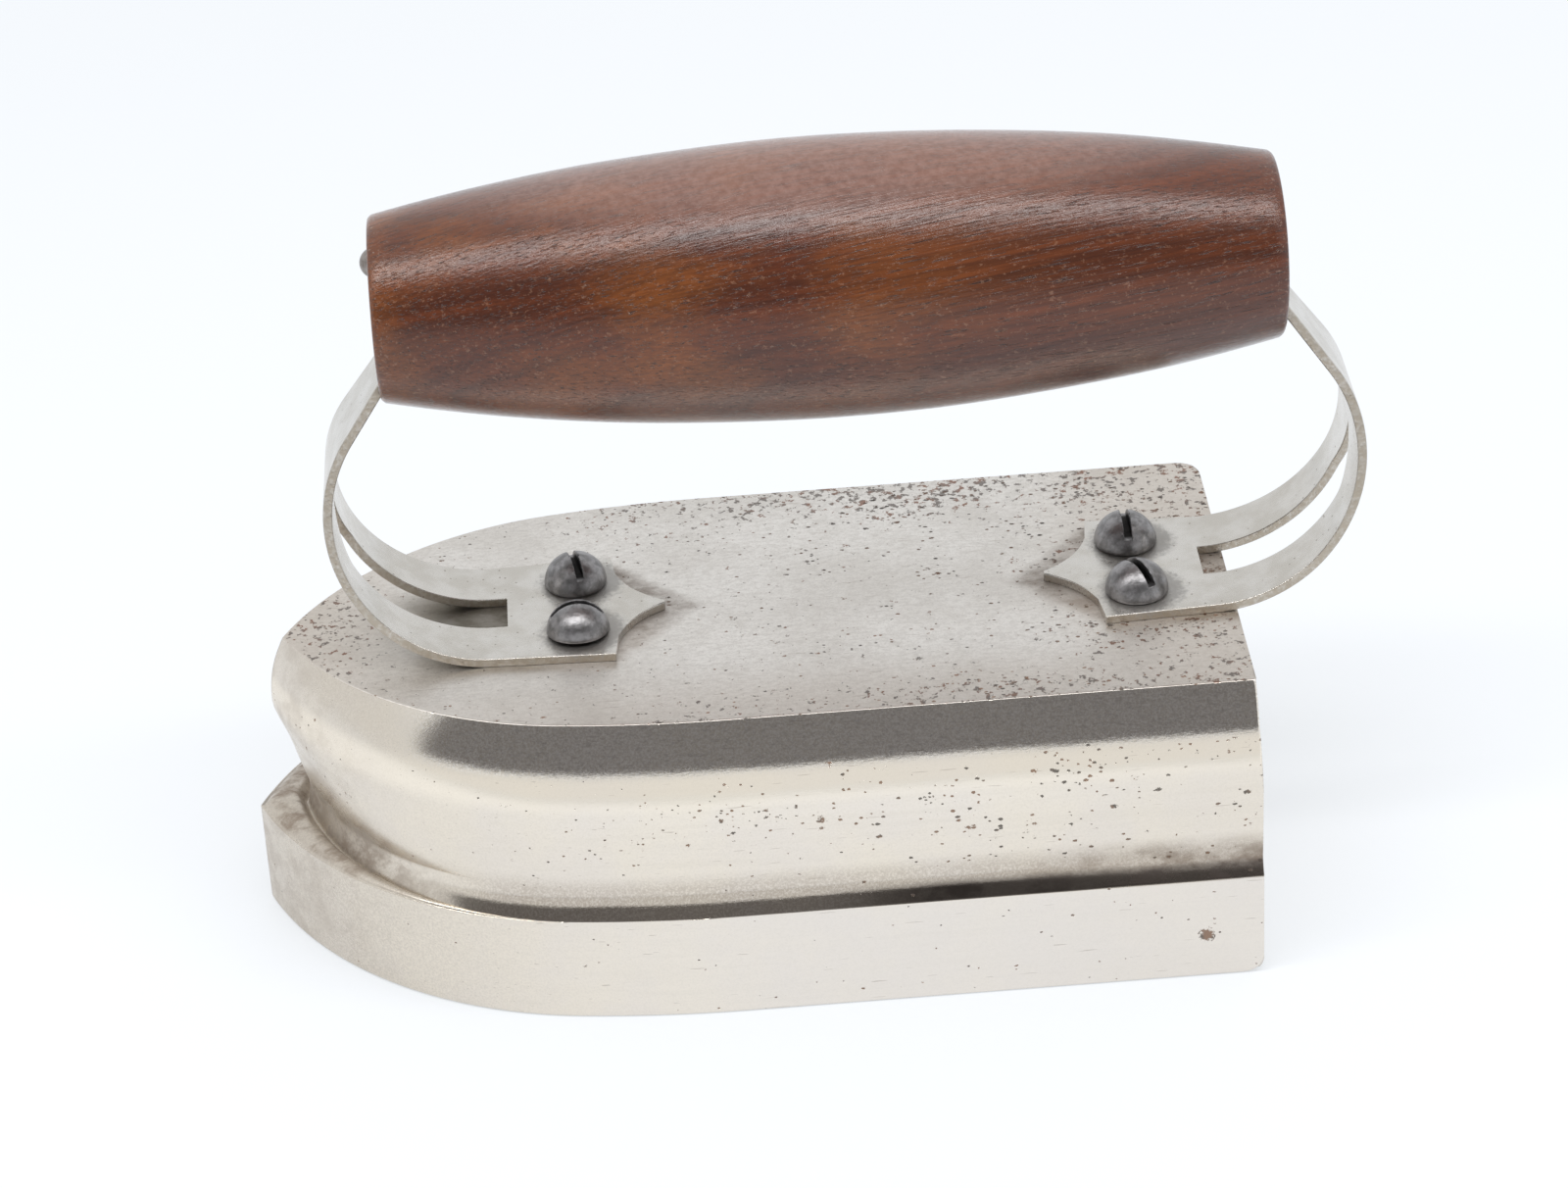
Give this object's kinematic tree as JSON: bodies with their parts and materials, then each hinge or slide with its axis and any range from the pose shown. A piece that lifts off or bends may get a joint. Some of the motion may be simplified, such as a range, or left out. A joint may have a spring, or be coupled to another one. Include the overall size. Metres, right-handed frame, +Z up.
{
  "type": "sad iron",
  "caption": "Antique sad iron: plated cast-iron block with a pointed, forward-leaning nose and gently bulging sides, slotted strap bows screwed to its flat top, and a barrel-shaped wooden grip.",
  "frame": {"origin": "centre of the sole's length and width, on the sole", "axes": "+X from the pointed nose to the square heel, +Y across to the far side, +Z up"},
  "size_m": [0.1584, 0.074, 0.1142],
  "materials": {
    "plated_iron": "worn nickel plate: polished sides, satin top, fine rust pits",
    "plated_steel": "worn nickel plate on strap steel, satin faces and ground edges",
    "dark_steel": "dark oxidised steel, semi-polished",
    "nail_steel": "tarnished steel",
    "lacquered_wood": "reddish-brown hardwood under worn gloss lacquer"
  },
  "bodies": {
    "root": {"iron_body": "plated_iron", "front_bow": "plated_steel", "rear_bow": "plated_steel", "wood_grip": "lacquered_wood", "front_screw_near": "dark_steel", "front_screw_far": "dark_steel", "rear_screw_near": "dark_steel", "rear_screw_far": "dark_steel", "front_grip_nail": "nail_steel", "rear_grip_nail": "nail_steel"}
  },
  "joints": []
}
